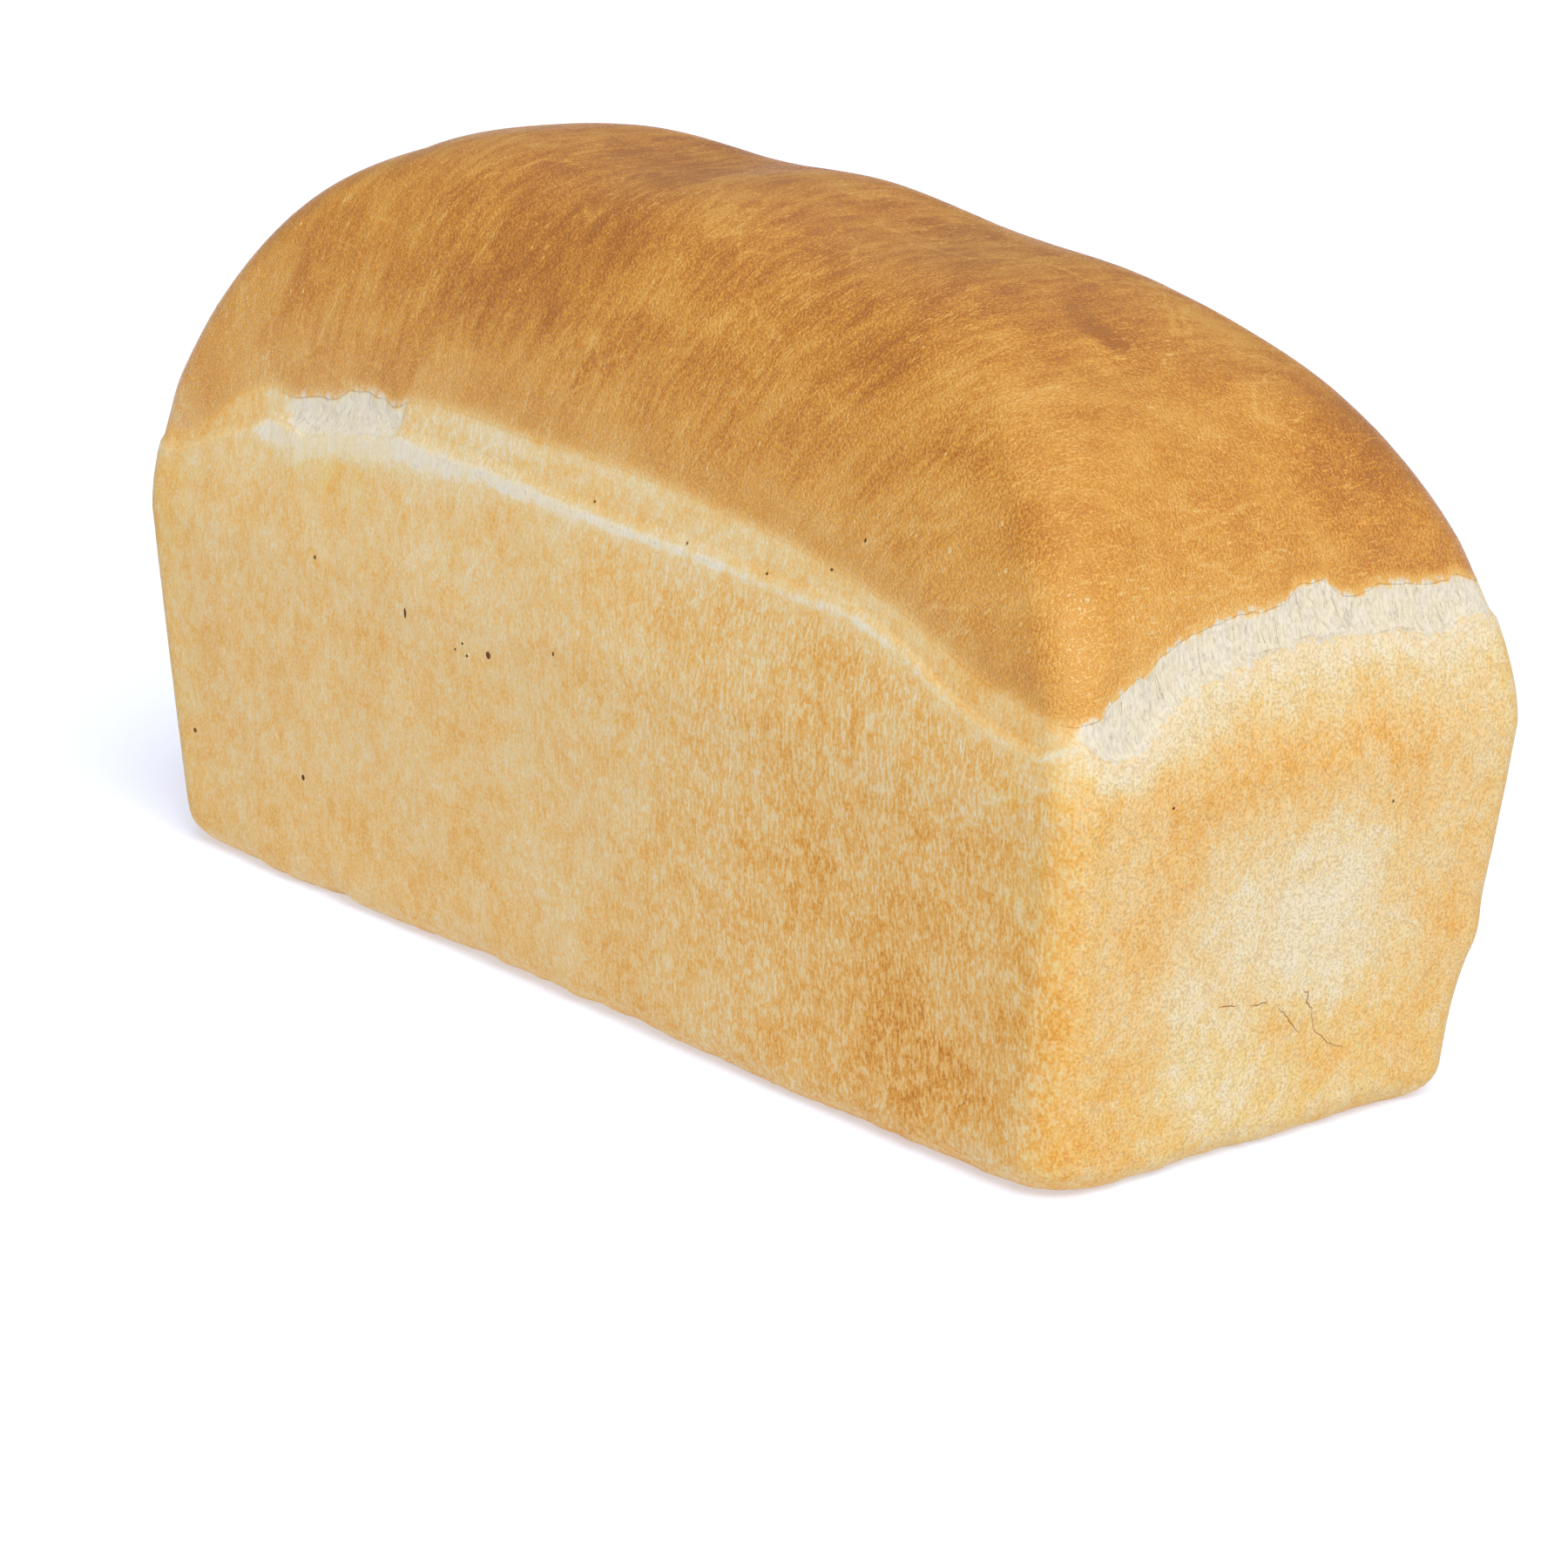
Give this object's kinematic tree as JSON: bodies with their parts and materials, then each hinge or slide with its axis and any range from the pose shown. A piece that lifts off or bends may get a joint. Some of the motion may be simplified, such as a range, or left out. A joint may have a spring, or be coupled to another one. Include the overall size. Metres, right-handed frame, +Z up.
{
  "type": "tin loaf",
  "caption": "Uncut white bread loaf baked in a tapered tin, with flat sides, a domed golden top and a tear under its rim.",
  "frame": {"origin": "middle of the loaf's length and width, on the surface that its flat base stands on", "axes": "+X along the loaf towards the end with the lower dome, +Y across it, +Z up"},
  "size_m": [0.26, 0.106, 0.1443],
  "materials": {
    "crust": "baked bread crust: pale gold and matt where the tin held it, orange-brown and satin on the dome, off-white crumb in the tear"
  },
  "bodies": {
    "root": {"loaf": "crust"}
  },
  "joints": []
}
